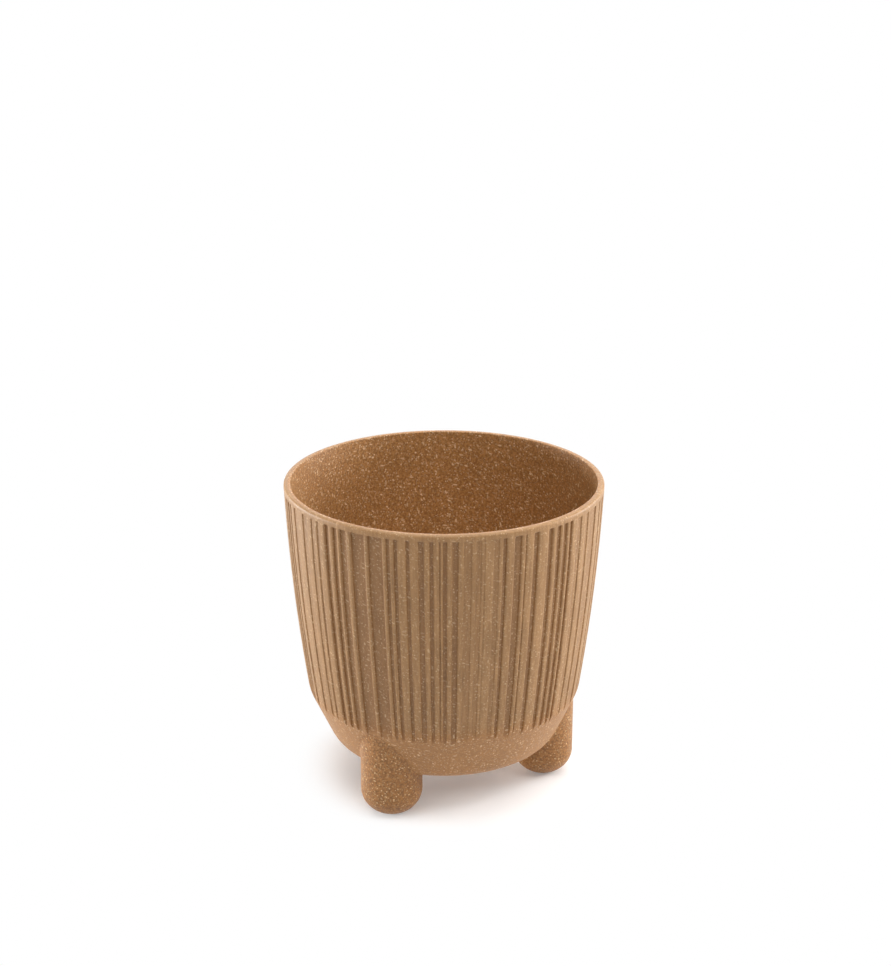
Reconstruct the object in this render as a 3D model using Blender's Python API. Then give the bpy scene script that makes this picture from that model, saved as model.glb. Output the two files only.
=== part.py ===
"""Ribbed flowerpot on three feet, moulded in plastic filled with pale wood fibre.

Four pieces: one thin-walled shell, and three hollow feet that push up over tubes moulded under it.
The shell is turned round the Z axis. Its wall stands over a bowl-shaped bottom, and upright grooves of
uneven width are sunk into the wall between a plain collar and the bowl.

Frame: metres, +Z up, the floor at Z = 0 and the pot's axis on Z. One foot stands on +X.
"""

import math

import bmesh
import bpy
from mathutils import Vector

MM = 0.001

# The shell's outer shape, as radii from the axis and heights above the floor
RIM_RADIUS = 75.0 * MM
RIM_HEIGHT = 151.0 * MM
WALL_SWELL = 1.4 * MM  # how far the wall bulges past a straight line, halfway up
WALL_FLARE = 9.8 * MM  # how much wider the rim is than the knee, where the wall turns in to the bowl
KNEE_RADIUS = RIM_RADIUS - WALL_FLARE
KNEE_HEIGHT = 48.4 * MM
KNEE_ROUNDING = 2.5 * MM  # how far from a corner its rounding starts
BOWL_FLARE = 12.8 * MM  # how much wider the knee is than the corner between the bowl and the flat underside
BASE_RADIUS = KNEE_RADIUS - BOWL_FLARE
BASE_HEIGHT = 20.9 * MM
BASE_ROUNDING = 7.7 * MM

# The shell's thickness and lip
WALL = 3.2 * MM
LIP_ROUNDING = 1.4 * MM

# The grooves, sunk straight in from the wall
COLLAR_HEIGHT = 2.7 * MM
GROOVE_DEPTH = 1.0 * MM
GROOVE_RUN_IN = 0.9 * MM  # height over which a groove reaches its depth, below the collar
GROOVE_FLANK = 0.35 * MM  # width of a groove's sloping side
# Widths in degrees round the axis: n narrow, s slim, m medium, b broad, w wide
RIDGE_WIDTHS = {"n": 0.9, "s": 1.5, "m": 2.0, "b": 3.0, "w": 4.4}
GROOVE_WIDTHS = {"n": 0.4, "s": 1.2, "m": 1.8, "b": 2.6, "w": 5.2}
# Each pair is a ridge and the groove after it. The row runs round half the pot, and then again.
RIB_PATTERN = (
    "ms sb bs mm sm ss bb wb bm ss bm mm sb mw sw ss ss bs bm ms mn ns "
    "mm mb sm nn bm ss bb sn bm wm mm sm ss bb bm sw ws bm ss ms ss ss"
)
PATTERN_REPEATS = 2
PATTERN_START = math.radians(180.3)

# The feet
FOOT_INSET = 4.1 * MM  # how far a foot's own axis lies inside the underside's corner
FOOT_CIRCLE_RADIUS = BASE_RADIUS - FOOT_INSET
FOOT_RADIUS = 14.5 * MM
FOOT_DOME_HEIGHT = 12.5 * MM  # of the round end, a little flatter than half a ball
FOOT_FLAT_RADIUS = 4.0 * MM  # the small flat that a foot stands on
FOOT_WALL = 2.4 * MM
FOOT_NAMES = ("foot_right", "foot_back_left", "foot_front_left")

# How a foot is held: a tube under the shell fills it, and a bead on the tube snaps into a groove
FIT_GAP = 0.3 * MM  # left wherever two pieces meet
SPIGOT_WALL = 2.0 * MM
BEAD_HEIGHT = 1.6 * MM
BEAD_PROUD = 0.4 * MM
GUIDE_OVERREACH = 10.0 * MM  # how far a cutting shape reaches past what it cuts
TOUCHING = 0.001 * MM  # heights closer than this count as one

# How finely round shapes are faceted
POT_SIDES = 96
FOOT_SIDES = 32
WALL_STEPS = 3
BEND_STEPS = 4
KNEE_STEPS = 2
DOME_STEPS = 6
LIP_STEPS = 2
SHARP_ANGLE = math.radians(35.0)

SHELL_COLOUR = (0.41, 0.25, 0.13)
FOOT_COLOUR = (0.37, 0.22, 0.11)


def clear_scene():
    for thing in list(bpy.data.objects):
        bpy.data.objects.remove(thing, do_unlink=True)


# Profiles: lists of (radius, height)


def wall_radius(height):
    """The wall's outer radius. Below the knee it carries on along the same curve."""
    share = (height - KNEE_HEIGHT) / (RIM_HEIGHT - KNEE_HEIGHT)
    straight = KNEE_RADIUS + (RIM_RADIUS - KNEE_RADIUS) * share
    return straight + 4.0 * WALL_SWELL * share * (1.0 - share)


def groove_radius(height):
    return wall_radius(height) - GROOVE_DEPTH


def bend(start, corner, end, steps):
    """Points on a curve that leaves start towards corner and reaches end from it, each with its direction."""
    for step in range(steps + 1):
        share = step / steps
        first = start.lerp(corner, share)
        second = corner.lerp(end, share)
        yield first.lerp(second, share), (second - first).normalized()


def pot_side(offset):
    """The shell's side from the underside's edge up to the rim, moved outwards by offset."""
    base = Vector((BASE_RADIUS, BASE_HEIGHT))
    knee = Vector((KNEE_RADIUS, KNEE_HEIGHT))
    slope = (knee - base).normalized()
    wall_foot = KNEE_HEIGHT + KNEE_ROUNDING
    rise = (RIM_HEIGHT - wall_foot) / WALL_STEPS
    path = list(bend(base - Vector((BASE_ROUNDING, 0.0)), base, base + slope * BASE_ROUNDING, BEND_STEPS))
    wall_start = Vector((wall_radius(wall_foot), wall_foot))
    path += bend(knee - slope * KNEE_ROUNDING, knee, wall_start, KNEE_STEPS)
    for step in range(1, WALL_STEPS + 1):
        height = wall_foot + rise * step
        run = wall_radius(height) - wall_radius(height - rise)
        path.append((Vector((wall_radius(height), height)), Vector((run, rise)).normalized()))
    side = [point + Vector((ahead.y, -ahead.x)) * offset for point, ahead in path]
    side[-1].y = RIM_HEIGHT
    return side


def with_height(side, height):
    """The side with one more point, at this height."""
    for index, (low, high) in enumerate(zip(side, side[1:])):
        if low.y + TOUCHING < height < high.y - TOUCHING:
            share = (height - low.y) / (high.y - low.y)
            return side[: index + 1] + [low.lerp(high, share)] + side[index + 1 :]
    return side


def radius_at(side, height):
    for low, high in zip(side, side[1:]):
        if low.y <= height <= high.y:
            return low.lerp(high, (height - low.y) / (high.y - low.y)).x
    return side[-1].x


def groove_end_height(side):
    """Where the straight groove runs out, because the bowl has drawn in as far as its floor."""
    low = BASE_HEIGHT + BASE_ROUNDING
    high = KNEE_HEIGHT + KNEE_ROUNDING
    for _ in range(30):
        middle = (low + high) / 2.0
        if radius_at(side, middle) > groove_radius(middle):
            high = middle
        else:
            low = middle
    return high


# Rings: lists of (angle, radius, height) round an axis, joined into closed meshes


def rib_corners():
    """The angles round the pot where a ridge or a groove starts or ends, and whether that corner is sunk."""
    pairs = RIB_PATTERN.split()
    total = sum(RIDGE_WIDTHS[ridge] + GROOVE_WIDTHS[groove] for ridge, groove in pairs)
    turn = 2.0 * math.pi
    scale = turn / (total * PATTERN_REPEATS)
    corners = []
    angle = PATTERN_START
    for ridge, groove in pairs * PATTERN_REPEATS:
        ridge_end = angle + RIDGE_WIDTHS[ridge] * scale
        groove_end = ridge_end + GROOVE_WIDTHS[groove] * scale
        flank = min(GROOVE_FLANK / KNEE_RADIUS, (groove_end - ridge_end) / 3.0)
        corners.append((angle, 0.0))
        corners.append((ridge_end, 0.0))
        corners.append((ridge_end + flank, 1.0))
        corners.append((groove_end - flank, 1.0))
        angle = groove_end
    return sorted((corner % turn, depth) for corner, depth in corners)


def round_ring(radius, height, sides):
    return [(2.0 * math.pi * side / sides, radius, height) for side in range(sides)]


def ribbed_ring(radius, height, corners):
    """A ring across the grooves, which start under the collar and run out where the bowl draws in."""
    run_in = (RIM_HEIGHT - COLLAR_HEIGHT - height) / GROOVE_RUN_IN
    depth = max(0.0, radius - groove_radius(height)) * min(1.0, max(0.0, run_in))
    return [(angle, radius - depth * sunk, height) for angle, sunk in corners]


def join_rings(mesh, first, second):
    """Triangles between two rings, which may have unlike numbers of corners."""
    turn = 2.0 * math.pi
    i = j = 0
    while i < len(first) or j < len(second):
        next_first = first[(i + 1) % len(first)][0] + (turn if i + 1 >= len(first) else 0.0)
        next_second = second[(j + 1) % len(second)][0] + (turn if j + 1 >= len(second) else 0.0)
        here = first[i % len(first)][1]
        there = second[j % len(second)][1]
        if j < len(second) and (i >= len(first) or next_second <= next_first):
            mesh.faces.new((here, there, second[(j + 1) % len(second)][1]))
            j += 1
        else:
            mesh.faces.new((here, there, first[(i + 1) % len(first)][1]))
            i += 1


def mesh_from_rings(name, rings, closed_loop=False):
    """A solid turned from its rings, which run down its outer side. Its ends are capped, or joined."""
    mesh = bmesh.new()
    made = []
    for ring in rings:
        made.append(
            [
                (angle, mesh.verts.new((radius * math.cos(angle), radius * math.sin(angle), height)))
                for angle, radius, height in ring
            ]
        )
    for first, second in zip(made, made[1:]):
        join_rings(mesh, first, second)
    if closed_loop:
        join_rings(mesh, made[-1], made[0])
    else:
        mesh.faces.new([vert for _, vert in made[0]])
        mesh.faces.new([vert for _, vert in reversed(made[-1])])
    data = bpy.data.meshes.new(name)
    mesh.to_mesh(data)
    mesh.free()
    return data


# Objects


def fibre_plastic(name, colour):
    material = bpy.data.materials.new(name)
    material.use_nodes = True
    shader = material.node_tree.nodes["Principled BSDF"]
    shader.inputs["Base Color"].default_value = (*colour, 1.0)
    shader.inputs["Roughness"].default_value = 0.6
    shader.inputs["Metallic"].default_value = 0.0
    return material


def add_object(name, data):
    thing = bpy.data.objects.new(name, data)
    bpy.context.scene.collection.objects.link(thing)
    return thing


def make_guide(thing):
    """A shape that only cuts or adds to another one."""
    thing.hide_render = True
    thing.display_type = "WIRE"
    return thing


def add_boolean(thing, operation, other):
    boolean = thing.modifiers.new(operation.lower() + "_" + other.name, "BOOLEAN")
    boolean.operation = operation
    boolean.solver = "EXACT"
    boolean.object = other


def shade(data):
    data.shade_smooth()
    data.set_sharp_from_angle(angle=SHARP_ANGLE)


def bowl_guide(name, offset):
    """The space that the lower shell takes, moved outwards by offset, and on past the knee."""
    side = [point for point in pot_side(offset) if point.y < KNEE_HEIGHT]
    top = KNEE_HEIGHT + GUIDE_OVERREACH
    side.append(Vector((wall_radius(top) + offset, top)))
    rings = [round_ring(point.x, point.y, POT_SIDES) for point in reversed(side)]
    return make_guide(add_object(name, mesh_from_rings(name, rings)))


def foot_place(index):
    """A foot's place under the pot, and the turn that points its +X away from the pot's axis."""
    angle = 2.0 * math.pi * index / len(FOOT_NAMES)
    return Vector((math.cos(angle), math.sin(angle), 0.0)) * FOOT_CIRCLE_RADIUS, angle


def dome_start():
    """The turn from the foot's axis at which the flat ends and the round end starts."""
    return math.asin(FOOT_FLAT_RADIUS / FOOT_RADIUS)


def dome_centre_height():
    return FOOT_DOME_HEIGHT * math.cos(dome_start())


def bead_heights():
    """The snap bead's lower edge, middle and upper edge, halfway along the spigot's shortest side."""
    middle = (dome_centre_height() + FIT_GAP + BASE_HEIGHT) / 2.0
    return middle - BEAD_HEIGHT / 2.0, middle, middle + BEAD_HEIGHT / 2.0


def build_spigots(mid_wall):
    """The tubes under the shell. Their tops run into the middle of its wall."""
    low, middle, high = bead_heights()
    bottom = dome_centre_height() + FIT_GAP
    outer = FOOT_RADIUS - FOOT_WALL - FIT_GAP
    bore = outer - SPIGOT_WALL
    profile = (
        (bore, KNEE_HEIGHT),
        (outer, KNEE_HEIGHT),
        (outer, high),
        (outer + BEAD_PROUD, middle),
        (outer, low),
        (outer, bottom),
        (bore, bottom),
    )
    rings = [round_ring(radius, height, FOOT_SIDES) for radius, height in profile]
    data = mesh_from_rings("spigot", rings, closed_loop=True)
    spigots = []
    for index in range(len(FOOT_NAMES)):
        spigot = make_guide(add_object("spigot_" + str(index + 1), data))
        spigot.location, spigot.rotation_euler.z = foot_place(index)
        add_boolean(spigot, "DIFFERENCE", mid_wall)
        spigots.append(spigot)
    return spigots


def lip_points(inner_foot, outer_foot):
    """The rounded lip, from inside to outside, between two points of the wall at the same height."""
    inner_radius = inner_foot.x
    inside = bend(
        inner_foot,
        Vector((inner_radius, RIM_HEIGHT)),
        Vector((inner_radius + LIP_ROUNDING, RIM_HEIGHT)),
        LIP_STEPS,
    )
    outside = bend(
        Vector((RIM_RADIUS - LIP_ROUNDING, RIM_HEIGHT)),
        Vector((RIM_RADIUS, RIM_HEIGHT)),
        outer_foot,
        LIP_STEPS,
    )
    return [point for point, _ in (*inside, *outside)]


def shell_rings():
    """Rings from the middle of the inner floor, up inside, over the lip and down outside to the underside."""
    outside = pot_side(0.0)
    groove_top = RIM_HEIGHT - COLLAR_HEIGHT
    groove_end = groove_end_height(outside)
    lip_foot = RIM_HEIGHT - LIP_ROUNDING
    for height in (groove_end, groove_top - GROOVE_RUN_IN, groove_top, lip_foot):
        outside = with_height(outside, height)
    inside = with_height(pot_side(-WALL), lip_foot)
    plain = inside[:-2] + lip_points(inside[-2], outside[-2])
    rings = [round_ring(point.x, point.y, POT_SIDES) for point in plain]
    corners = rib_corners()
    for point in reversed(outside[:-2]):
        if groove_end - TOUCHING < point.y < groove_top + TOUCHING:
            rings.append(ribbed_ring(point.x, point.y, corners))
        else:
            rings.append(round_ring(point.x, point.y, POT_SIDES))
    return rings


def build_shell(spigots):
    data = mesh_from_rings("pot_shell", shell_rings())
    data.materials.append(fibre_plastic("pot_shell_plastic", SHELL_COLOUR))
    shade(data)
    shell = add_object("pot_shell", data)
    for spigot in spigots:
        add_boolean(shell, "UNION", spigot)
    return shell


def foot_mesh(name):
    """One foot about its own axis, its top left tall for the saddle cut."""
    low, middle, high = bead_heights()
    centre = dome_centre_height()
    inner = FOOT_RADIUS - FOOT_WALL
    inner_dome = FOOT_DOME_HEIGHT - FOOT_WALL
    notch = inner + BEAD_PROUD
    first_turn = dome_start()
    turns = [first_turn + (math.pi / 2.0 - first_turn) * step / DOME_STEPS for step in range(DOME_STEPS + 1)]
    profile = [(inner * math.sin(turn), centre - inner_dome * math.cos(turn)) for turn in turns]
    profile += [
        (inner, low - FIT_GAP),
        (notch, middle),
        (inner, high + FIT_GAP),
        (inner, KNEE_HEIGHT),
        (FOOT_RADIUS, KNEE_HEIGHT),
    ]
    for turn in reversed(turns):
        profile.append((FOOT_RADIUS * math.sin(turn), centre - FOOT_DOME_HEIGHT * math.cos(turn)))
    rings = [round_ring(radius, height, FOOT_SIDES) for radius, height in profile]
    return mesh_from_rings(name, rings)


def build_feet(saddle):
    for index, name in enumerate(FOOT_NAMES):
        data = foot_mesh(name)
        data.materials.append(fibre_plastic(name + "_plastic", FOOT_COLOUR))
        shade(data)
        foot = add_object(name, data)
        foot.location, foot.rotation_euler.z = foot_place(index)
        add_boolean(foot, "DIFFERENCE", saddle)


clear_scene()
build_shell(build_spigots(bowl_guide("mid_wall", -WALL / 2.0)))
build_feet(bowl_guide("foot_saddle", FIT_GAP))
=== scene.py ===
# %% [markdown]
# A ribbed flowerpot on three round feet.
# The real pot is a thin moulding of tan plastic, filled with short pale wood fibres that show as
# flecks. It has a ribbed wall, a plain bowl below it and three round feet that are pushed on. This
# lesson starts from the measured solids of the pot. They could simply be given a material, but
# their ribs are plain and sharp, so each moulding is modelled again in the same place, with its
# fine shape, and then gets the finish of filled plastic.

# %% Load the measured solids
import math
from collections import namedtuple

import bmesh
import bpy
import numpy as np
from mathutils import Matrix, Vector


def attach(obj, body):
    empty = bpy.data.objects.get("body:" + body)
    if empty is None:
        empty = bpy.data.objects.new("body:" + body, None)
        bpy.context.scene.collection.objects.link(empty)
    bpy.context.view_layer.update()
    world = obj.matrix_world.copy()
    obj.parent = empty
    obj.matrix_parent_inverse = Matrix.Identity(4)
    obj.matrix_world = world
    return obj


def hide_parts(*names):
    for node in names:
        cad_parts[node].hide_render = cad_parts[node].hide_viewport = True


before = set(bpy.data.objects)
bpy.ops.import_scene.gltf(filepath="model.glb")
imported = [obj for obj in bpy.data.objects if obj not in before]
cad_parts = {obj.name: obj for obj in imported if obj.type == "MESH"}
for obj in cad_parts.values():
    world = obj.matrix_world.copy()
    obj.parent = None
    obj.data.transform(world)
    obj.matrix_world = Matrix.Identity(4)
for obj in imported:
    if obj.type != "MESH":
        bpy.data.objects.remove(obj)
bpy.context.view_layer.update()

# %% [markdown]
# The camera comes first, because everything is judged through it. It could be aimed at the pot by
# a constraint, but plain numbers are easier to nudge, and these were found by laying the pot's
# outline over the photograph. The camera stands 87 cm in front of the pot and looks down by a good
# 19 degrees, so that the mouth of the pot shows as a wide oval. The lens and the sensor are given
# in millimetres, as on a real camera. Every other length in this lesson is in metres.

# %% Camera
MM = 0.001
CAMERA_DISTANCE = 872.5 * MM
CAMERA_HEIGHT = 457.1 * MM
CAMERA_TURN = math.radians(0.63)
CAMERA_PITCH = math.radians(19.455)
CAMERA_SIDESTEP = 0.7 * MM
NEAREST_VIEW = 50.0 * MM
LENS = 73.67
SENSOR_WIDTH = 36.0

to_the_right = Vector((math.cos(CAMERA_TURN), math.sin(CAMERA_TURN), 0.0))
stand = Vector((math.sin(CAMERA_TURN), -math.cos(CAMERA_TURN), 0.0)) * CAMERA_DISTANCE
stand += to_the_right * CAMERA_SIDESTEP
stand.z = CAMERA_HEIGHT
bpy.ops.object.camera_add(location=stand, rotation=(math.pi / 2 - CAMERA_PITCH, 0.0, CAMERA_TURN))
camera = bpy.context.object
camera.name = "camera"
camera.data.lens = LENS
camera.data.sensor_width = SENSOR_WIDTH
camera.data.clip_start = NEAREST_VIEW
bpy.context.scene.camera = camera
print("camera at", [round(value, 3) for value in camera.location])

# %% [markdown]
# A few habits are worth a helper each. An operator in edit mode acts on whatever is selected, so a
# new piece always starts with nothing else selected. Every moulding of the pot is round. Such a
# shape could be spun from a drawn outline, but here it is drawn ring by ring: a circle is added,
# extruded, and scaled about its own axis to the next radius of the outline. All the rings then have
# the same points in the same order, so the ribs can be placed on them, and a ring can be found
# again by counting.

# %% Helpers for turned shapes
MERGE_DISTANCE = 0.002 * MM
SHARP_ANGLE = math.radians(40.0)


def open_piece(piece):
    """Makes this the only selected object and opens its mesh."""
    bpy.ops.object.select_all(action="DESELECT")
    piece.select_set(True)
    bpy.context.view_layer.objects.active = piece
    bpy.ops.object.mode_set(mode="EDIT")


def first_ring(name, points, radius, height, centre=(0.0, 0.0)):
    """A circle to turn a shape from, left open in edit mode with its ring selected."""
    bpy.ops.object.select_all(action="DESELECT")
    bpy.ops.mesh.primitive_circle_add(
        vertices=points, radius=radius, fill_type="NOTHING", location=(*centre, height)
    )
    ring = bpy.context.object
    ring.name = ring.data.name = name
    open_piece(ring)
    bpy.ops.mesh.select_all(action="SELECT")
    return ring


def turn_profile(profile, centre=(0.0, 0.0)):
    """Extrudes the selected ring from point to point of a profile of (radius, height)."""
    for (last_radius, last_height), (radius, height) in zip(profile, profile[1:]):
        bpy.ops.mesh.extrude_edges_move(
            TRANSFORM_OT_translate={"value": (0.0, 0.0, height - last_height)}
        )
        scale = radius / last_radius
        bpy.ops.transform.resize(value=(scale, scale, 1.0), center_override=(*centre, height))


def close_and_finish(piece):
    """Merges the points of the poles and seams, turns every face outwards and closes the mesh."""
    bpy.ops.mesh.select_all(action="SELECT")
    bpy.ops.mesh.remove_doubles(threshold=MERGE_DISTANCE)
    bpy.ops.mesh.normals_make_consistent(inside=False)
    bpy.ops.object.mode_set(mode="OBJECT")
    bpy.ops.object.transform_apply(location=True, rotation=True, scale=True)
    print(piece.name, "has", len(piece.data.polygons), "faces")


def smooth_shade(piece, sharp_angle=SHARP_ANGLE):
    """Shades a piece smooth, except along edges that bend by more than this."""
    bpy.ops.object.select_all(action="DESELECT")
    piece.select_set(True)
    bpy.context.view_layer.objects.active = piece
    bpy.ops.object.shade_smooth_by_angle(angle=sharp_angle)


# %% [markdown]
# The pot's outline is one slow curve for the wall, a soft knee, a straight-sided bowl and a rounded
# corner to the flat underside. It could be drawn as a curve object, but a short list of radii and
# heights is easier to measure and to change. A corner is rounded with a curve that leaves one side
# and arrives on the other, which gives the soft bends that a mould has.

# %% The outline of the pot
RIM_RADIUS = 74.97 * MM
RIM_HEIGHT = 151.0 * MM
WALL_SWELL = 1.4 * MM
KNEE_RADIUS = 65.2 * MM
KNEE_HEIGHT = 48.4 * MM
KNEE_ROUNDING = 2.5 * MM
BASE_RADIUS = 52.4 * MM
BASE_HEIGHT = 20.9 * MM
BASE_ROUNDING = 7.7 * MM
WALL = 3.2 * MM


def wall_radius(height):
    """The wall's outer radius. Below the knee it carries on along the same curve."""
    share = (height - KNEE_HEIGHT) / (RIM_HEIGHT - KNEE_HEIGHT)
    return KNEE_RADIUS + (RIM_RADIUS - KNEE_RADIUS) * share + 4.0 * WALL_SWELL * share * (1.0 - share)


def rounded(start, corner, end, steps):
    """Points and directions along a corner that is rounded from start to end."""
    for step in range(steps + 1):
        share = step / steps
        first = start.lerp(corner, share)
        second = corner.lerp(end, share)
        yield first.lerp(second, share), (second - first).normalized()


def pot_side(offset, wall_heights, base_steps, knee_steps, bowl_heights=()):
    """The side from the edge of the flat underside up the wall, moved outwards by offset."""
    base = Vector((BASE_RADIUS, BASE_HEIGHT))
    knee = Vector((KNEE_RADIUS, KNEE_HEIGHT))
    slope = (knee - base).normalized()
    under_base = base - Vector((BASE_ROUNDING, 0.0))
    wall_start = Vector((wall_radius(KNEE_HEIGHT + KNEE_ROUNDING), KNEE_HEIGHT + KNEE_ROUNDING))
    path = list(rounded(under_base, base, base + slope * BASE_ROUNDING, base_steps))
    for height in bowl_heights:
        path.append((base + slope * ((height - BASE_HEIGHT) / slope.y), slope))
    path += rounded(knee - slope * KNEE_ROUNDING, knee, wall_start, knee_steps)
    for height in wall_heights:
        run = wall_radius(height + MM) - wall_radius(height)
        path.append((Vector((wall_radius(height), height)), Vector((run, MM)).normalized()))
    return [(point.x + ahead.y * offset, point.y - ahead.x * offset) for point, ahead in path]


bowl_line = pot_side(0.0, wall_heights=[], base_steps=12, knee_steps=8)
print("the bowl runs from", [round(value / MM, 1) for value in bowl_line[0]], "to",
      [round(value / MM, 1) for value in bowl_line[-1]], "mm")

# %% [markdown]
# The wall has ribs of uneven width, in a row that never looks regular. A bump map could draw them,
# but they would vanish along the edge of the pot, so they are real shape. Each letter pair below is
# a ridge and the groove after it: narrow, small, medium, broad or wide, and a capital stands for a
# shallow groove. The widths are shares of the whole ring, so any row closes round the pot. This one
# was read off the front of the pot, and the back repeats it. A ridge is rounded from its crown down
# to the floor of the groove, like a quarter of an ellipse at each side, so the ring needs its
# points close together near the foot of a ridge and only a few on the crowns and floors.

# %% Where the points of the ring go
RIDGE_WIDTHS = {"n": 0.9, "s": 1.5, "m": 2.0, "b": 3.0, "w": 4.4}
GROOVE_WIDTHS = {"n": 0.4, "s": 1.2, "m": 1.8, "b": 2.6, "w": 5.2}
DEEP_GROOVES = {"n": 0.6 * MM, "s": 1.0 * MM, "m": 1.05 * MM, "b": 1.05 * MM, "w": 1.15 * MM}
SHALLOW_GROOVES = {"N": 0.3 * MM, "S": 0.5 * MM, "M": 0.5 * MM, "B": 0.55 * MM, "W": 0.6 * MM}
GROOVE_DEPTHS = DEEP_GROOVES | SHALLOW_GROOVES
RIB_PATTERN = (
    "ms sb bs mm sm sS bB wB bM sS bm mm sb mw sw ss ss bs bm ms mn ns "
    "mm mB sM nN bM ss bb sn bm wm mm sm ss bB bM sW wS bm ss ms ss ss"
)
ROWS_ROUND_THE_POT = 2
PATTERN_START = math.radians(180.3)
RIDGE_ROUNDING = 0.9 * MM
RIDGE_FOOT = 0.12 * MM
ROUNDING_SHARES = (1.0, 0.9, 0.7, 0.4)
FLAT_CROWN_FROM = 2.3
GROOVES_WITH_A_MIDDLE_POINT = "bw"


def rib_points():
    """Angles round the pot, each with the depth that the wall is sunk to there."""
    pairs = RIB_PATTERN.split() * ROWS_ROUND_THE_POT
    total = sum(RIDGE_WIDTHS[ridge] + GROOVE_WIDTHS[groove.lower()] for ridge, groove in pairs)
    scale = 2.0 * math.pi / total
    foot = RIDGE_FOOT / KNEE_RADIUS
    points = []
    start = PATTERN_START
    last_depth = GROOVE_DEPTHS[pairs[-1][1]]
    for ridge, groove in pairs:
        left = start - foot
        right = start + RIDGE_WIDTHS[ridge] * scale + foot
        start += (RIDGE_WIDTHS[ridge] + GROOVE_WIDTHS[groove.lower()]) * scale
        depth = GROOVE_DEPTHS[groove]
        reach = min(RIDGE_ROUNDING / KNEE_RADIUS, (right - left) / 2.0)
        for share in ROUNDING_SHARES:
            drop = 1.0 - math.sqrt(1.0 - share * share)
            points.append((left + reach * (1.0 - share), last_depth * drop))
            points.append((right - reach * (1.0 - share), depth * drop))
        if right - left > FLAT_CROWN_FROM * reach:
            points += [(left + reach, 0.0), (right - reach, 0.0)]
        else:
            points.append(((left + right) / 2.0, 0.0))
        if groove.lower() in GROOVES_WITH_A_MIDDLE_POINT:
            points.append(((right + start - foot) / 2.0, depth))
        last_depth = depth
    return sorted((angle % (2.0 * math.pi), depth) for angle, depth in points)


ring_points = rib_points()
ring_angles = np.array([angle for angle, _ in ring_points])
ring_depths = np.array([depth for _, depth in ring_points])
print(len(ring_points), "points round the ring,", ROWS_ROUND_THE_POT * len(RIB_PATTERN.split()), "ribs")

# %% [markdown]
# The shell is the thin wall, collar, bowl and floor of the pot in one piece. Its outline is now
# written out ring by ring. The rings could be evenly spaced, but they are needed close together
# where the grooves start and end, and only here and there on the plain stretches. The lip joins the
# outer side to the inner one. It is rounder outside than inside, where the real one has a crisp,
# pale edge.

# %% The rings of the shell
LIP_ROUNDING = 1.4 * MM
INNER_LIP_ROUNDING = 0.7 * MM
COLLAR_HEIGHT = 2.7 * MM
COLLAR_RING_HEIGHT = 149.0 * MM
GROOVE_RUN_IN = 0.9 * MM
RUN_IN_SHARES = (1.0, 0.85, 0.65, 0.4, 0.2, 0.0)
POLE = 0.01 * MM
UNDERSIDE_RADII = (POLE, 15.0 * MM, 32.0 * MM)
FLOOR_RADII = (30.0 * MM, 14.0 * MM, POLE)
RUN_OUT_RINGS = (34, 41, 43, 44, 44.6, 45.2, 45.7)
WALL_RINGS = (53.5, 59, 68, 78, 89, 100, 111, 122, 132, 140, 144.5)
INNER_RINGS = (60, 80, 105, 130)

groove_top = RIM_HEIGHT - COLLAR_HEIGHT
run_out_heights = [ring * MM for ring in RUN_OUT_RINGS]
outer_heights = [ring * MM for ring in WALL_RINGS]
outer_heights += [groove_top - GROOVE_RUN_IN * share for share in RUN_IN_SHARES]
outer_heights += [COLLAR_RING_HEIGHT, RIM_HEIGHT - LIP_ROUNDING]
outer_side = pot_side(0.0, outer_heights, base_steps=7, knee_steps=7, bowl_heights=run_out_heights)
inner_heights = [ring * MM for ring in INNER_RINGS] + [RIM_HEIGHT - INNER_LIP_ROUNDING]
inner_side = pot_side(-WALL, inner_heights, base_steps=5, knee_steps=3)
floor_height = inner_side[0][1]

outer_lip = Vector(outer_side[-1])
inner_lip = Vector(inner_side[-1])
outer_corner = Vector((outer_lip.x, RIM_HEIGHT))
inner_corner = Vector((inner_lip.x, RIM_HEIGHT))
outer_top = outer_corner - Vector((LIP_ROUNDING, 0.0))
inner_top = inner_corner + Vector((INNER_LIP_ROUNDING, 0.0))
lip = [(point.x, point.y) for point, _ in rounded(outer_lip, outer_corner, outer_top, steps=5)][1:]
lip += [(point.x, point.y) for point, _ in rounded(inner_top, inner_corner, inner_lip, steps=4)]

profile = [(radius, BASE_HEIGHT) for radius in UNDERSIDE_RADII]
profile += outer_side + lip + inner_side[-2::-1]
profile += [(radius, floor_height) for radius in FLOOR_RADII]
print("profile of", len(profile), "points")

# %% [markdown]
# Now the shell is turned. One circle is added at the middle of the underside, and its points are
# slid round it to the places of the ribs. Extruding and scaling it takes it out over the underside,
# up the bowl and the wall, over the rounded lip, and down inside again to the middle of the floor.
# The Screw modifier could turn the outline in one go, but then every point would be evenly spaced,
# and the ribs need theirs on the edges.

# %% Turn the shell
shell = first_ring("pot_shell_fine", len(ring_points), POLE, BASE_HEIGHT)
bpy.ops.object.mode_set(mode="OBJECT")
for vertex, angle in zip(shell.data.vertices, ring_angles):
    vertex.co = (POLE * math.cos(angle), POLE * math.sin(angle), 0.0)
open_piece(shell)
bpy.ops.mesh.select_all(action="SELECT")
turn_profile(profile)
bpy.ops.object.mode_set(mode="OBJECT")
print("turned", shell.name, "with", len(shell.data.vertices), "points")

# %% [markdown]
# The real moulding is closed in the middle, above and below. At these two poles the ring is only a
# hundredth of a millimetre wide. A cap of many thin triangles could fill it, but merging its points
# into one is cleaner and closes the shell just as well.

# %% Close the poles
TOUCHING = 0.01 * MM


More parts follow.
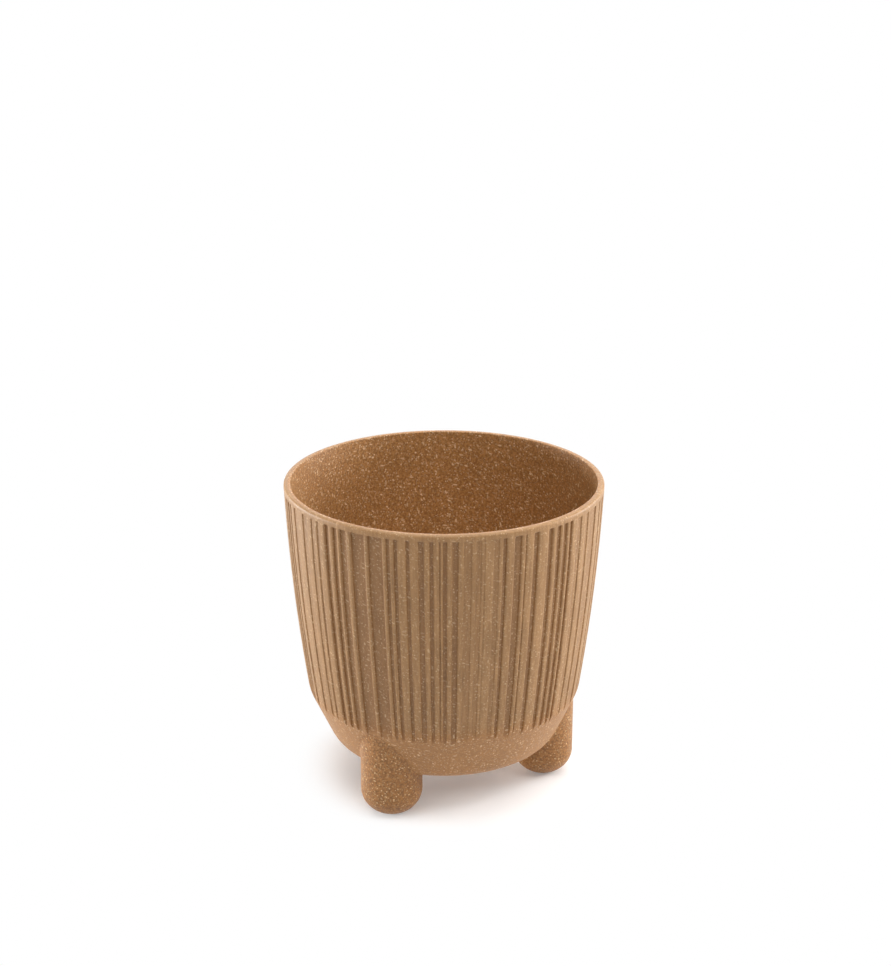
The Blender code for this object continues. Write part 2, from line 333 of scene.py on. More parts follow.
def merge_pole(height):
    """Merges the points that lie next to the axis at this height."""
    bpy.ops.mesh.select_all(action="DESELECT")
    mesh = bmesh.from_edit_mesh(bpy.context.object.data)
    lift = bpy.context.object.location.z
    for vertex in mesh.verts:
        near = math.hypot(vertex.co.x, vertex.co.y) < 2.0 * POLE
        vertex.select = near and abs(vertex.co.z + lift - height) < TOUCHING
    mesh.select_flush_mode()
    bmesh.update_edit_mesh(bpy.context.object.data)
    bpy.ops.mesh.merge(type="CENTER")


open_piece(shell)
for pole_height in (BASE_HEIGHT, floor_height):
    merge_pole(pole_height)
close_and_finish(shell)

# %% [markdown]
# On the real pot the grooves start just under the collar and run out where the bowl draws in. Each
# could be cut with a cutter of its own, but they are sunk with a weight map, which also gives them
# soft ends. Every point of the outer wall gets a weight, the depth of the groove at its place round
# the ring. It fades in over a little less than a millimetre under the collar. Below the knee, a
# groove that was cut straight runs out by itself, so the weight is lowered by as much as the bowl
# has drawn in. A Displace modifier then moves each point inwards along its normal by its weight.

# %% Sink the grooves
SINK_SCALE = 2.0 * MM
RUN_OUT_SOFTNESS = 0.12 * MM
outer_radii = np.array([radius for radius, _ in outer_side])
outer_levels = np.array([height for _, height in outer_side])


def groove_depth(angle, height):
    """How deep the wall is sunk at this place, with a soft start and a soft end."""
    depth = ring_depths[int(np.abs(ring_angles - angle).argmin())]
    run_in = min(1.0, max(0.0, (groove_top - height) / GROOVE_RUN_IN))
    drawn_in = wall_radius(height) - np.interp(height, outer_levels, outer_radii)
    left = depth * run_in * run_in * (3.0 - 2.0 * run_in) - max(0.0, drawn_in)
    if left <= 0.0:
        return 0.0
    softened = (left + math.sqrt(left * left + RUN_OUT_SOFTNESS**2)) / 2.0
    return softened - RUN_OUT_SOFTNESS / 2.0


groove_map = shell.vertex_groups.new(name="groove")
sunk = 0
for vertex in shell.data.vertices:
    radius = math.hypot(vertex.co.x, vertex.co.y)
    height = vertex.co.z
    outside = radius > np.interp(height, outer_levels, outer_radii) - WALL / 2.0
    if outside and run_out_heights[0] < height < groove_top:
        angle = math.atan2(vertex.co.y, vertex.co.x) % (2.0 * math.pi)
        depth = groove_depth(angle, height)
        if depth > 0.0:
            groove_map.add([vertex.index], depth / SINK_SCALE, "REPLACE")
            sunk += 1

sink = shell.modifiers.new("sink the grooves", "DISPLACE")
sink.vertex_group = groove_map.name
sink.direction = "NORMAL"
sink.mid_level = 0.0
sink.strength = -SINK_SCALE
bpy.context.view_layer.objects.active = shell
bpy.ops.object.modifier_apply(modifier=sink.name)
smooth_shade(shell)
print(sunk, "points sunk")

# %% [markdown]
# Under the bowl stand three short tubes that the feet are pushed on to, each with a small bead that
# snaps into its foot. They can't be seen on the finished pot, but they belong to the moulding. Tube
# and foot could be sized one by one, but then a change to one would spoil the fit. So both come
# from the same few sizes, with one named gap between them.

# %% Sizes under the bowl
FOOT_CIRCLE_RADIUS = 48.3 * MM
FOOT_RADIUS = 14.5 * MM
DOME_HEIGHT = 12.5 * MM
FOOT_FLAT_RADIUS = 4.0 * MM
FOOT_WALL = 2.4 * MM
FIT_GAP = 0.3 * MM
TUBE_WALL = 2.0 * MM
TUBE_CHAMFER = 0.3 * MM
TUBE_SIDES = 64
BEAD_HEIGHT = 1.6 * MM
BEAD_CREST = 0.4 * MM
BEAD_PROUD = 0.4 * MM
FOOT_ANGLES = {"foot_right": 0.0, "foot_back_left": 120.0, "foot_front_left": 240.0}

dome_start = math.asin(FOOT_FLAT_RADIUS / FOOT_RADIUS)
dome_centre = DOME_HEIGHT * math.cos(dome_start)
foot_bore = FOOT_RADIUS - FOOT_WALL
tube_outer = foot_bore - FIT_GAP
tube_bore = tube_outer - TUBE_WALL
tube_top = KNEE_HEIGHT
tube_bottom = dome_centre + FIT_GAP
bead_middle = (tube_bottom + BASE_HEIGHT) / 2.0
print("a foot is", round(2.0 * FOOT_RADIUS / MM, 1), "mm across and its tube",
      round(2.0 * tube_outer / MM, 1), "mm")

# %% [markdown]
# A tube could be a cylinder with a Solidify modifier, but turning it like the shell gives its bead
# and its chamfers at once. The points of its top are then moved on to the middle of the bowl's
# wall, so that it joins the bowl all round.

# %% Turn the tubes
mid_wall = pot_side(-WALL / 2.0, wall_heights=[58.0 * MM], base_steps=12, knee_steps=8)


def foot_centre(angle):
    """Where a foot stands, from its angle round the pot in degrees."""
    turn = math.radians(angle)
    return FOOT_CIRCLE_RADIUS * math.cos(turn), FOOT_CIRCLE_RADIUS * math.sin(turn)


def height_on(line, radius):
    """The height at which a line of (radius, height) passes this radius."""
    return float(np.interp(radius, [point[0] for point in line], [point[1] for point in line]))


def fit_top(height, line):
    """Moves the open mesh's points at this height on to a turned line."""
    piece = bpy.context.object
    mesh = bmesh.from_edit_mesh(piece.data)
    for vertex in mesh.verts:
        if abs(vertex.co.z + piece.location.z - height) < TOUCHING:
            spot = vertex.co + piece.location
            vertex.co.z = height_on(line, math.hypot(spot.x, spot.y)) - piece.location.z
    bmesh.update_edit_mesh(piece.data)


tube_profile = [
    (tube_bore, tube_top),
    (tube_outer, tube_top),
    (tube_outer, bead_middle + BEAD_HEIGHT / 2.0),
    (tube_outer + BEAD_PROUD, bead_middle + BEAD_CREST / 2.0),
    (tube_outer + BEAD_PROUD, bead_middle - BEAD_CREST / 2.0),
    (tube_outer, bead_middle - BEAD_HEIGHT / 2.0),
    (tube_outer, tube_bottom + TUBE_CHAMFER),
    (tube_outer - TUBE_CHAMFER, tube_bottom),
    (tube_bore + TUBE_CHAMFER, tube_bottom),
    (tube_bore, tube_bottom + TUBE_CHAMFER),
    (tube_bore, tube_top),
]
tubes = []
for foot_name, angle in FOOT_ANGLES.items():
    centre = foot_centre(angle)
    tube = first_ring("tube_" + foot_name, TUBE_SIDES, tube_bore, tube_top, centre)
    turn_profile(tube_profile, centre)
    fit_top(tube_top, mid_wall)
    close_and_finish(tube)
    smooth_shade(tube)
    tubes.append(tube)

# %% [markdown]
# The tubes are moulded in one with the shell. They could just be left standing in it, but then
# their tops would lie hidden inside the bowl's wall, so each is joined to it with a Boolean union,
# which leaves one clean skin.

# %% Join the tubes to the shell
bpy.ops.object.select_all(action="DESELECT")
bpy.context.view_layer.objects.active = shell
for tube in tubes:
    union = shell.modifiers.new("join " + tube.name, "BOOLEAN")
    union.operation = "UNION"
    union.solver = "EXACT"
    union.object = tube
    bpy.ops.object.modifier_apply(modifier=union.name)
    bpy.data.objects.remove(tube)
print("shell:", len(shell.data.polygons), "faces")

# %% [markdown]
# The finish isn't the same all over, and the floors of the grooves get painted shade: they are mixed a
# little towards a dark brown, for the shadow that the ridges cast there.
# The fibres show clearly inside the pot and on the feet, less on the bowl, and only faintly on the
# ribbed wall, where the skin is duller. A painted image could say so, but marks on the points of
# the mesh need no image and stay with the shape. There are two: how far down a groove a point lies,
# and how clearly the fibres show there.

# %% Mark where the finish changes and where shade is painted
# A groove floor gets its full painted shade at this depth below the skin.
FLOOR_DEPTH = 0.95 * MM
SHOW_INSIDE = 1.0
SHOW_BOWL = 0.65
SHOW_WALL = 0.4
SHOW_BLEND = 6.0 * MM


def mark_points(piece, name, values):
    """Writes one number for each point of a piece, for its material to read."""
    marks = piece.data.attributes.new(name, "FLOAT", "POINT")
    marks.data.foreach_set("value", values)
    print(piece.name, name, "from", round(min(values), 2), "to", round(max(values), 2))


groove_floors = []
fibre_shows = []
for vertex in shell.data.vertices:
    height = vertex.co.z
    skin_radius = float(np.interp(height, outer_levels, outer_radii))
    below_skin = skin_radius - math.hypot(vertex.co.x, vertex.co.y)
    outside = below_skin < WALL / 2.0 or height < BASE_HEIGHT + TOUCHING
    in_groove = outside and run_out_heights[0] < height < groove_top
    # How far down a groove a point lies sets how much painted shade it gets.
    groove_floors.append(max(0.0, below_skin / FLOOR_DEPTH) if in_groove else 0.0)
    up_the_wall = min(1.0, max(0.0, (height - KNEE_HEIGHT) / SHOW_BLEND))
    outer_show = SHOW_BOWL + (SHOW_WALL - SHOW_BOWL) * up_the_wall
    fibre_shows.append(outer_show if outside else SHOW_INSIDE)
mark_points(shell, "painted_shade_depth", groove_floors)
mark_points(shell, "fibre_show", fibre_shows)

# %% [markdown]
# A foot is a hollow cup with a round end. It could be cut from a capsule with a Boolean, but then
# its top edge would be hard. Instead it is turned like the shell, round its own axis: from the
# small flat that it stands on, up the outside, over the top edge and down inside. Its outline comes
# as two lists, the domed end outside and inside. The rings between them follow in the next cell.

# %% The outline of a foot
FLAT_RING = 0.6 * FOOT_FLAT_RADIUS
DOME_STEPS = 11
INNER_DOME_STEPS = 8


def dome(radius, height, steps):
    """Points of a round end, from the edge of its flat up to its full radius."""
    for step in range(steps + 1):
        turn = dome_start + (math.pi / 2.0 - dome_start) * step / steps
        yield radius * math.sin(turn), dome_centre - height * math.cos(turn)


outer_dome = [(POLE, 0.0), (FLAT_RING, 0.0), *dome(FOOT_RADIUS, DOME_HEIGHT, DOME_STEPS)]
inner_dome = list(dome(foot_bore, DOME_HEIGHT - FOOT_WALL, INNER_DOME_STEPS))
inner_dome.insert(0, (POLE, inner_dome[0][1]))
print("foot:", len(outer_dome), "rings outside and", len(inner_dome), "inside")

# %% [markdown]
# The top of a foot follows the bowl. The points of the top rings are set a hair below the bowl's
# surface, and the last few millimetres flare out a little, which gives the soft joint that the
# photograph shows. The bowl is round and the foot stands off its middle, so every point of the top
# has its own height. That is why the upper rings are first turned as a plain tube, and their points
# are then moved one by one.

# %% The feet
SEAT_GAP = 0.08 * MM
FLARE = 0.9 * MM
FLARE_HEIGHT = 3.2 * MM
STRAIGHT_SHARES = (0.22, 0.45, 0.65)
FLARE_DROPS = (
    FLARE_HEIGHT, FLARE_HEIGHT * 0.65, FLARE_HEIGHT * 0.35, FLARE_HEIGHT * 0.12, 0.15 * MM, 0.0
)
INNER_SHARES = (0.0, 0.35, 0.7)
FOOT_SIDES = 72
FOOT_SHARP_ANGLE = math.radians(50.0)
bowl_and_wall = pot_side(0.0, wall_heights=[54.0 * MM, 60.0 * MM], base_steps=24, knee_steps=12)


def seat_radius(below_top):
    """The foot's outer radius at this distance below its top edge."""
    share = max(0.0, 1.0 - below_top / FLARE_HEIGHT)
    return FOOT_RADIUS + FLARE * share * share


def seat_height(centre, turn, radius):
    """The height at which a point of the foot meets the bowl, less the gap to it."""
    x = centre[0] + radius * math.cos(turn)
    y = centre[1] + radius * math.sin(turn)
    return height_on(bowl_and_wall, math.hypot(x, y)) - SEAT_GAP


def fit_to_bowl(foot, centre):
    """Moves the upper rings to their heights and radii below the bowl's surface."""
    straight_start = len(outer_dome)
    flare_start = straight_start + len(STRAIGHT_SHARES)
    inner_start = flare_start + len(FLARE_DROPS)
    inner_end = inner_start + len(INNER_SHARES)
    for index, vertex in enumerate(foot.data.vertices):
        ring = index // FOOT_SIDES
        turn = math.atan2(vertex.co.y, vertex.co.x)
        top = seat_height(centre, turn, FOOT_RADIUS + FLARE)
        if straight_start <= ring < flare_start:
            share = STRAIGHT_SHARES[ring - straight_start]
            vertex.co.z = dome_centre + (top - FLARE_HEIGHT - dome_centre) * share
        elif flare_start <= ring < inner_start:
            drop = FLARE_DROPS[ring - flare_start]
            radius = seat_radius(drop)
            vertex.co = (radius * math.cos(turn), radius * math.sin(turn), top - drop)
        elif inner_start <= ring < inner_end:
            inner_top = seat_height(centre, turn, foot_bore)
            share = INNER_SHARES[ring - inner_start]
            vertex.co.z = inner_top + (dome_centre - inner_top) * share


def make_foot(name, angle):
    """Turns one foot with a plain upper part, and fits that to the bowl."""
    centre = foot_centre(angle)
    upper_steps = range(1, len(STRAIGHT_SHARES) + len(FLARE_DROPS) + 1)
    inner_steps = range(len(INNER_SHARES), 0, -1)
    plain_upper = [(FOOT_RADIUS, dome_centre + step * MM) for step in upper_steps]
    plain_inner = [(foot_bore, dome_centre + step * MM) for step in inner_steps]
    foot = first_ring(name + "_fine", FOOT_SIDES, POLE, 0.0, centre)
    turn_profile(outer_dome + plain_upper + plain_inner + inner_dome[::-1], centre)
    bpy.ops.object.mode_set(mode="OBJECT")
    fit_to_bowl(foot, centre)
    open_piece(foot)
    close_and_finish(foot)
    smooth_shade(foot, FOOT_SHARP_ANGLE)
    return foot


feet = {name: make_foot(name, angle) for name, angle in FOOT_ANGLES.items()}
for foot in feet.values():
    mark_points(foot, "fibre_show", [SHOW_INSIDE] * len(foot.data.vertices))

# %% [markdown]
# A material is a small tree of nodes. Its nodes could be laid out by hand in the shader editor, but
# in a script each one takes several lines, so three helpers come first: one adds a node and links
# its inputs, one does a sum, and one mixes two colours. A Mix node has a set of sockets for each
# type of value, and the numbers below are its sockets for colours.

# %% Helpers for materials
MIX_FIRST, MIX_SECOND, MIX_RESULT = 6, 7, 2


def add_node(tree, kind, inputs=None, **settings):
    """Adds a node, sets its settings, and links or sets its inputs by name."""
    made = tree.nodes.new(kind)
    for key, value in settings.items():
        setattr(made, key, value)
    for key, value in (inputs or {}).items():
        if isinstance(value, bpy.types.NodeSocket):
            tree.links.new(value, made.inputs[key])
        else:
            made.inputs[key].default_value = value
    return made


def math_node(tree, operation, first, second):
    """One step of arithmetic on sockets or numbers."""
    return add_node(tree, "ShaderNodeMath", {0: first, 1: second}, operation=operation).outputs["Value"]


def mix_colour(tree, factor, first, second):
    """Mixes two colours, each a socket or three numbers, and returns the result's socket."""
    first = first if isinstance(first, bpy.types.NodeSocket) else (*first, 1.0)
    second = second if isinstance(second, bpy.types.NodeSocket) else (*second, 1.0)
    inputs = {0: factor, MIX_FIRST: first, MIX_SECOND: second}
    return add_node(tree, "ShaderNodeMix", inputs, data_type="RGBA").outputs[MIX_RESULT]


# %% [markdown]
# The real plastic is full of short wood fibres that lie in its skin as pale flecks, some bright and
# some nearly sunk from view. They could be thousands of small objects, but a pattern in the
# material is lighter. A fleck is a cell point of a 3-D Voronoi pattern that is stretched along one
# direction, so the fibres of one layer all lie the same way. The list below holds each layer's turn
# about the three axes, in radians, and its shift, so that no two layers have their fibres at the
# same places. Each fibre also gets its luck, a random number of its cell.

# %% One layer of fibres
FIBRE_DIRECTIONS = (
    ((0.2, 0.1, 0.3), 0.0),
    ((1.35, 0.2, 0.9), 11.0),
    ((0.3, 1.4, 2.1), 23.0),
    ((0.9, 0.8, 1.2), 37.0),
)
SHIFT_SHARES = (1.0, 0.7, 1.3)
FLECK_CORE = 0.6
FLECK_EDGE = 1.15
FibreKind = namedtuple("FibreKind", "length width spacing rarity strength layers")


def fibre_layer(tree, place, direction, kind):
    """One layer of parallel fibres: a mask from 0 to 1, and a random value for each fibre."""
    rotation, shift = direction
    turned = add_node(
        tree, "ShaderNodeMapping", {"Vector": place, "Rotation": rotation}, vector_type="POINT"
    )
    stretched = add_node(
        tree,
        "ShaderNodeMapping",
        {"Vector": turned.outputs["Vector"], "Location": [shift * share for share in SHIFT_SHARES],
         "Scale": (1.0 / kind.width, 1.0 / kind.width, 1.0 / kind.length)},
        vector_type="POINT",
    )
    cells = add_node(
        tree,
        "ShaderNodeTexVoronoi",
        {"Vector": stretched.outputs["Vector"], "Scale": 1.0 / kind.spacing, "Randomness": 1.0},
        voronoi_dimensions="3D",
        feature="F1",
    )
    edge = 0.5 / kind.spacing
    mask = add_node(
        tree,
        "ShaderNodeMapRange",
        {"Value": cells.outputs["Distance"], "From Min": edge * FLECK_CORE,
         "From Max": edge * FLECK_EDGE, "To Min": 1.0, "To Max": 0.0},
        interpolation_type="SMOOTHSTEP",
    )
    luck = add_node(tree, "ShaderNodeSeparateColor", {"Color": cells.outputs["Color"]})
    return mask.outputs["Result"], luck.outputs["Red"]


print("a layer of fibres can lie in", len(FIBRE_DIRECTIONS), "directions")

# %% [markdown]
# Fibres that all lie one way would look combed, and in the real plastic they lie every way. One
# pattern with a turn for each cell could do that, but its fibres would be cut off at the edges of
# their cells. So up to four layers with other directions are laid over each other, and a slow noise
# bends them. The brightness of a fibre is its luck, raised to a power so that only a few are
# bright.

# %% All the fibres
BEND_SCALE = 180.0
BEND = 2.2 * MM
MID_GREY = (0.5, 0.5, 0.5)


def bent_place(tree, place):
    """The place on the pot, pushed about by a slow noise, so that fibres don't lie in rows."""
    slow = add_node(tree, "ShaderNodeTexNoise", {"Vector": place, "Scale": BEND_SCALE, "Detail": 1.0})
    drift = add_node(
        tree, "ShaderNodeVectorMath", {0: slow.outputs["Color"], 1: MID_GREY}, operation="SUBTRACT"
    )
    push = add_node(
        tree, "ShaderNodeVectorMath", {0: drift.outputs["Vector"], "Scale": BEND}, operation="SCALE"
    )
    bent = add_node(tree, "ShaderNodeVectorMath", {0: place, 1: push.outputs["Vector"]}, operation="ADD")
    return bent.outputs["Vector"]


def fibre_mask(tree, place, kinds):
    """The fibres of all these kinds in one mask."""
    total = None
    for kind in kinds:
        for direction in FIBRE_DIRECTIONS[:kind.layers]:
            mask, luck = fibre_layer(tree, place, direction, kind)
            rare = math_node(tree, "POWER", luck, kind.rarity)
            shown = math_node(tree, "MULTIPLY", rare, kind.strength)
            flecks = math_node(tree, "MULTIPLY", mask, shown)
            total = flecks if total is None else math_node(tree, "MAXIMUM", total, flecks)
    return total


print("the slow noise bends them by up to", round(BEND / 2.0 / MM, 1), "mm")

# %% [markdown]
# The tan between the fibres isn't even either. It wanders a little from place to place, it has a
# very fine grain, and on the ribbed wall faint streaks run upwards, where the mould drew along the
# plastic. All three are noise of different scales. One colour ramp could carry them, but they are
# added up as plain numbers, so that each can be made stronger or weaker by itself. The streaks are
# the same kind of noise as the grain, drawn out along the height of the pot.

# %% The skin between the fibres
CLOUD_SCALE = 45.0
CLOUD_STRENGTH = 0.5
GRAIN_SCALE = 1000.0
GRAIN_RANGE = (0.36, 0.64)
STREAK_SCALE = 900.0
STREAK_STRETCH = 0.03
STREAK_STRENGTH = 1.2


def noise(tree, place, scale, detail):
    """A soft noise round 0.5, with about as many spots to the metre as its scale says."""
    inputs = {"Vector": place, "Scale": scale, "Detail": detail}
    return add_node(tree, "ShaderNodeTexNoise", inputs).outputs["Fac"]


def drawn_streaks(tree, place, on_wall):
    """Streaks that run up the wall, from -0.5 to 0.5, and none off it."""
    stretch = {"Vector": place, "Scale": (1.0, 1.0, STREAK_STRETCH)}
    drawn = add_node(tree, "ShaderNodeMapping", stretch, vector_type="POINT").outputs["Vector"]
    streaks = noise(tree, drawn, STREAK_SCALE, 2.0)
    return math_node(tree, "MULTIPLY", math_node(tree, "SUBTRACT", streaks, 0.5), on_wall)


def skin_shade(tree, place, grain, show, streak):
    """Where the skin lies between its deep tan, 0, and its tan, 1."""
    spots = add_node(
        tree,
        "ShaderNodeMapRange",
        {"Value": grain, "From Min": GRAIN_RANGE[0], "From Max": GRAIN_RANGE[1],
         "To Min": -0.5, "To Max": 0.5},
    )
    show_squared = math_node(tree, "MULTIPLY", show, show)
    mottle = math_node(tree, "MULTIPLY", spots.outputs["Result"], show_squared)
    wander = math_node(tree, "MULTIPLY", noise(tree, place, CLOUD_SCALE, 4.0), CLOUD_STRENGTH)
    shade = math_node(tree, "ADD", math_node(tree, "ADD", mottle, wander), 0.5 - CLOUD_STRENGTH / 2.0)
    return math_node(tree, "ADD", shade, math_node(tree, "MULTIPLY", streak, STREAK_STRENGTH))


print("streaks are", round(1.0 / STREAK_STRETCH), "times as long as they are wide")

# %% [markdown]
# The filled plastic puts these together. It is a warm tan with a dull skin. The shell has long
# fibres and some dots, where a fibre is cut across, and on the feet the dots are close together.
# Below and inside the ribbed wall the skin is a little redder, and the floors of the grooves get painted
# shade: they are mixed towards a dark brown by how deep they lie. The look could come from the colour
# alone, but under a low light a dull skin shows its grain, so the roughness varies and a bump raises the
# grain and the streaks. The bump leaves the fibres out, because they are flush with the skin, and a bump
# asks for its height three times at every point.

# %% The filled plastic
LONG_FIBRES = FibreKind(2.6 * MM, 0.9 * MM, spacing=2.6, rarity=1.6, strength=1.0, layers=4)
FAINT_FIBRES = FibreKind(1.6 * MM, 0.55 * MM, spacing=2.0, rarity=1.0, strength=0.35, layers=3)
DOTS = FibreKind(0.85 * MM, 0.75 * MM, spacing=2.4, rarity=1.6, strength=1.0, layers=3)
WARMTH = (1.04, 0.91, 0.72)
# The dark brown that the groove floors are mixed towards, as painted shade.
GROOVE_PAINTED_SHADE = (0.14, 0.042, 0.0)
SKIN_SPECULAR = 0.5
SKIN_ROUGHNESS = (0.46, 0.6)
ROUGHNESS_RANGE = (0.3, 0.7)
STREAK_RELIEF = 2.5
BUMP_STRENGTH = 0.35
BUMP_HEIGHT = 0.08 * MM


def warmer(colour):
    """The deeper and redder tan of the skin below and inside the ribbed wall."""
    return tuple(value * share for value, share in zip(colour, WARMTH))


def fibre_plastic(name, tan, deep_tan, fibre, kinds, painted_groove_shade):
    """The filled plastic. The painted groove shade says how strongly the groove floors are darkened with
    painted shade.
    """
    material = bpy.data.materials.new(name)
    material.use_nodes = True
    tree = material.node_tree
    shader = tree.nodes["Principled BSDF"]
    shader.inputs["Specular IOR Level"].default_value = SKIN_SPECULAR
    place = add_node(tree, "ShaderNodeTexCoord").outputs["Object"]
    show = add_node(tree, "ShaderNodeAttribute", attribute_name="fibre_show").outputs["Fac"]
    # How far down a groove a point lies, which sets its painted shade.
    groove = add_node(tree, "ShaderNodeAttribute", attribute_name="painted_shade_depth").outputs["Fac"]
    off_wall = add_node(
        tree, "ShaderNodeMapRange", {"Value": show, "From Min": SHOW_WALL, "From Max": SHOW_BOWL}
    ).outputs["Result"]

    fibres = math_node(tree, "MULTIPLY", fibre_mask(tree, bent_place(tree, place), kinds), show)
    grain = noise(tree, place, GRAIN_SCALE, 1.5)
    streak = drawn_streaks(tree, place, math_node(tree, "SUBTRACT", 1.0, off_wall))
    shade = skin_shade(tree, place, grain, show, streak)
    wall_skin = mix_colour(tree, shade, deep_tan, tan)
    warm_skin = mix_colour(tree, shade, warmer(deep_tan), warmer(tan))
    skin = mix_colour(tree, off_wall, wall_skin, warm_skin)
    # Painted shade: the floors of the grooves are mixed towards a dark brown by how deep they lie.
    skin = mix_colour(tree, math_node(tree, "MULTIPLY", groove, painted_groove_shade), skin, GROOVE_PAINTED_SHADE)
    tree.links.new(mix_colour(tree, fibres, skin, fibre), shader.inputs["Base Color"])

    rough = add_node(
        tree,
        "ShaderNodeMapRange",
        {"Value": grain, "From Min": ROUGHNESS_RANGE[0], "From Max": ROUGHNESS_RANGE[1],
         "To Min": SKIN_ROUGHNESS[0], "To Max": SKIN_ROUGHNESS[1]},
    )
    tree.links.new(rough.outputs["Result"], shader.inputs["Roughness"])
    relief = math_node(tree, "ADD", grain, math_node(tree, "MULTIPLY", streak, STREAK_RELIEF))
    bump = add_node(
        tree, "ShaderNodeBump", {"Height": relief, "Strength": BUMP_STRENGTH, "Distance": BUMP_HEIGHT}
    )
    tree.links.new(bump.outputs["Normal"], shader.inputs["Normal"])
    return material


shell_plastic = fibre_plastic(
    "tan fibre plastic",
    tan=(0.428, 0.23, 0.091),
    deep_tan=(0.243, 0.123, 0.042),
    fibre=(0.792, 0.576, 0.342),
    kinds=(LONG_FIBRES, FAINT_FIBRES, DOTS),
    # How strongly the groove floors of the shell get painted shade.
    painted_groove_shade=0.33,
)
foot_plastic = fibre_plastic(
    "tan fibre plastic of the feet",
    tan=(0.37, 0.182, 0.058),
    deep_tan=(0.204, 0.095, 0.026),
    fibre=(0.75, 0.53, 0.265),
    kinds=(DOTS, FAINT_FIBRES),
    # The feet have no grooves, so they get no painted shade.
    painted_groove_shade=0.0,
)
print("materials:", shell_plastic.name, "and", foot_plastic.name)

# %% [markdown]
# Each new piece takes the place of its measured solid. The solid could stay underneath, but it would
# show through at the grooves. So a piece rides on the one body of the pot, gets its material, and its
# solid is hidden.

# %% Put the pieces in place
def dress(piece, node, material):
    """Gives a piece its material and its body, and hides the solid that it replaces."""
    piece.data.materials.clear()
    piece.data.materials.append(material)
    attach(piece, "root")
    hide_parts(node)


dress(shell, "pot_shell", shell_plastic)
for foot_name, foot in feet.items():
    dress(foot, foot_name, foot_plastic)
print("dressed:", shell.name, [foot.name for foot in feet.values()])

# %% [markdown]
# The pot was photographed on a white sweep of paper. More light would make a plain floor just as
# white, but it would bleach the pot too. So the floor is white paper that takes the pot's shadow,
# and what the camera sees of it is lifted a little. Outside a disc round the shadow it turns into
# even white, up to the edges of the picture. The disc is set a little to the right and to the back,
# as the shadow in the photograph lies. Light that bounces off the floor on to the pot knows nothing
# of this, and comes from plain paper.

# %% Floor
FLOOR_SIZE = 12.0
WHITE = (1.0, 1.0, 1.0, 1.0)
PAPER_COLOUR = (0.9, 0.9, 0.9, 1.0)
PAPER_ROUGHNESS = 0.9
PAPER_LIFT = 0.14
SHADOW_MIDDLE = (5.0 * MM, 8.0 * MM, 0.0)
SHADOW_REACH = (52.0 * MM, 80.0 * MM)
bpy.ops.object.select_all(action="DESELECT")
bpy.ops.mesh.primitive_plane_add(size=FLOOR_SIZE, location=(0.0, 0.0, 0.0))
floor = bpy.context.object
floor.name = "floor"


def seen_directly(tree):
    """1 for what the camera sees, also in gloss or through glass, and 0 for light that bounces."""
    rays = add_node(tree, "ShaderNodeLightPath")
    seen = math_node(tree, "MAXIMUM", rays.outputs["Is Camera Ray"], rays.outputs["Is Glossy Ray"])
    return math_node(tree, "MAXIMUM", seen, rays.outputs["Is Transmission Ray"])


paper = bpy.data.materials.new("white paper")
paper.use_nodes = True
tree = paper.node_tree
sheet = tree.nodes["Principled BSDF"]
sheet.inputs["Base Color"].default_value = PAPER_COLOUR
sheet.inputs["Roughness"].default_value = PAPER_ROUGHNESS
sheet.inputs["Specular IOR Level"].default_value = 0.0
spot = add_node(tree, "ShaderNodeTexCoord").outputs["Object"]
from_shadow = add_node(tree, "ShaderNodeVectorMath", {0: spot, 1: SHADOW_MIDDLE}, operation="DISTANCE")
far = add_node(
    tree,
    "ShaderNodeMapRange",
    {"Value": from_shadow.outputs["Value"], "From Min": SHADOW_REACH[0], "From Max": SHADOW_REACH[1]},
    interpolation_type="SMOOTHSTEP",
)
seen = seen_directly(tree)
lift_seen = math_node(tree, "MULTIPLY", seen, PAPER_LIFT)
lift = add_node(tree, "ShaderNodeEmission", {"Color": WHITE, "Strength": lift_seen})
glow = add_node(tree, "ShaderNodeEmission", {"Color": WHITE, "Strength": 1.0})
near = add_node(tree, "ShaderNodeAddShader", {0: sheet.outputs[0], 1: lift.outputs[0]})
even_white = math_node(tree, "MULTIPLY", far.outputs["Result"], seen)
shaders = {0: even_white, 1: near.outputs[0], 2: glow.outputs[0]}
blend = add_node(tree, "ShaderNodeMixShader", shaders)
tree.links.new(blend.outputs[0], tree.nodes["Material Output"].inputs["Surface"])
floor.data.materials.append(paper)
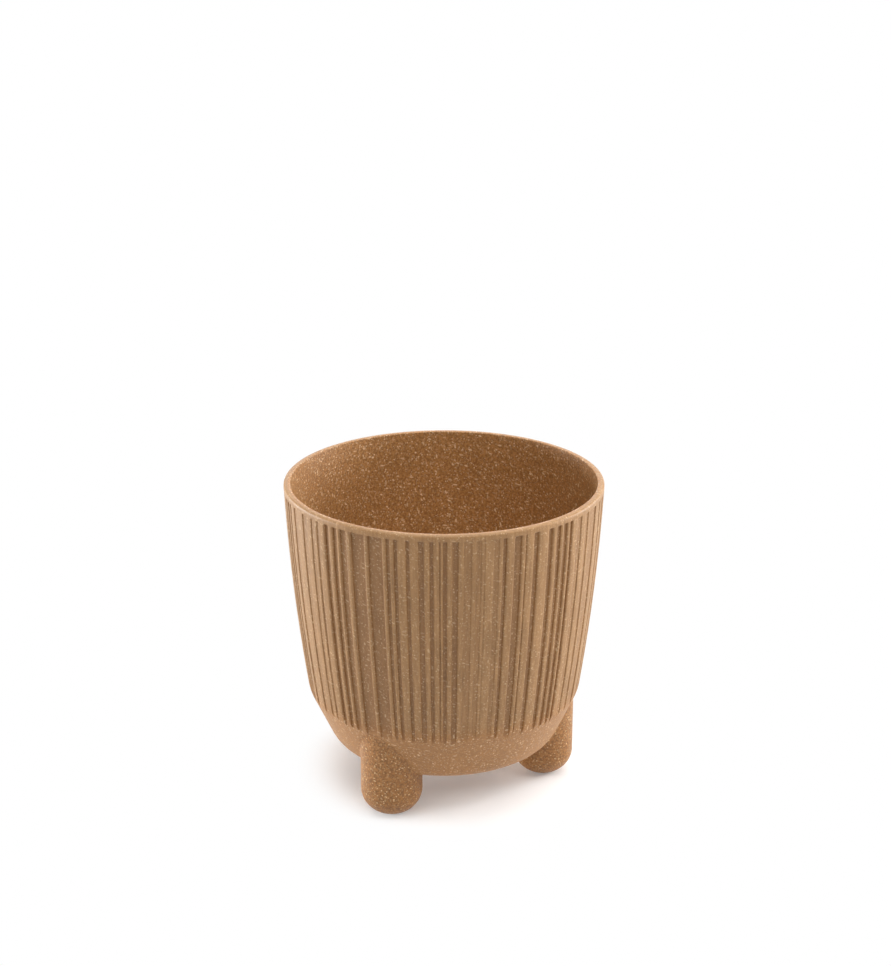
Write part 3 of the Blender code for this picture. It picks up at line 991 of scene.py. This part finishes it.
print("floor of", FLOOR_SIZE, "m")

# %% [markdown]
# The light is a soft studio light. One big lamp above could do it, but then the wall would be flat
# and the inside as bright as the outside. Two low lamps at the left, the stronger one further back,
# graze the wall and stay under the rim, so they leave the inside alone. A strong lamp at the right
# stands higher and a little behind: it lights the right side of the wall and, over the rim, the
# inner wall at the left. A small one high at the right front helps it. A broad lamp above fills the
# rest from all sides, with a weak one in front of it, and a low one behind brightens the far lip.
# The sides come out brighter than the middle, and the inside darkens from left to right. The
# surround is white for the camera only, and gives no light itself.

# %% Lamps and surround
def soft_lamp(name, location, target, width, height, energy):
    """A rectangular lamp that faces its target, with its energy in watts."""
    aim = (Vector(target) - Vector(location)).to_track_quat("-Z", "Y").to_euler()
    bpy.ops.object.light_add(type="AREA", location=location, rotation=aim)
    lamp = bpy.context.object
    lamp.name = name
    lamp.data.shape = "RECTANGLE"
    lamp.data.size = width
    lamp.data.size_y = height
    lamp.data.energy = energy


MID_POT = (0.0, 0.0, 0.08)
LOW_POT = (0.0, 0.0, 0.05)
soft_lamp("lamp right", (1.15, 0.4, 0.35), MID_POT, 0.6, 0.6, 16.3)
soft_lamp("lamp right high", (0.75, -0.5, 0.9), MID_POT, 0.5, 0.5, 3.1)
soft_lamp("lamp left", (-1.2, -0.1, 0.12), MID_POT, 0.6, 0.2, 1.8)
soft_lamp("lamp left behind", (-1.15, 0.35, 0.12), MID_POT, 0.6, 0.2, 13.4)
soft_lamp("lamp above", (0.0, 0.0, 1.3), LOW_POT, 1.8, 1.8, 21.6)
soft_lamp("lamp above in front", (0.0, -0.7, 1.1), LOW_POT, 1.2, 0.8, 3.1)
soft_lamp("lamp behind", (0.0, 1.3, 0.5), MID_POT, 1.0, 0.3, 3.6)

world = bpy.data.worlds.new("surround")
bpy.context.scene.world = world
world.use_nodes = True
surround = world.node_tree.nodes["Background"]
surround.inputs["Color"].default_value = WHITE
world.node_tree.links.new(seen_directly(world.node_tree), surround.inputs["Strength"])
bpy.context.scene.view_settings.view_transform = "Standard"
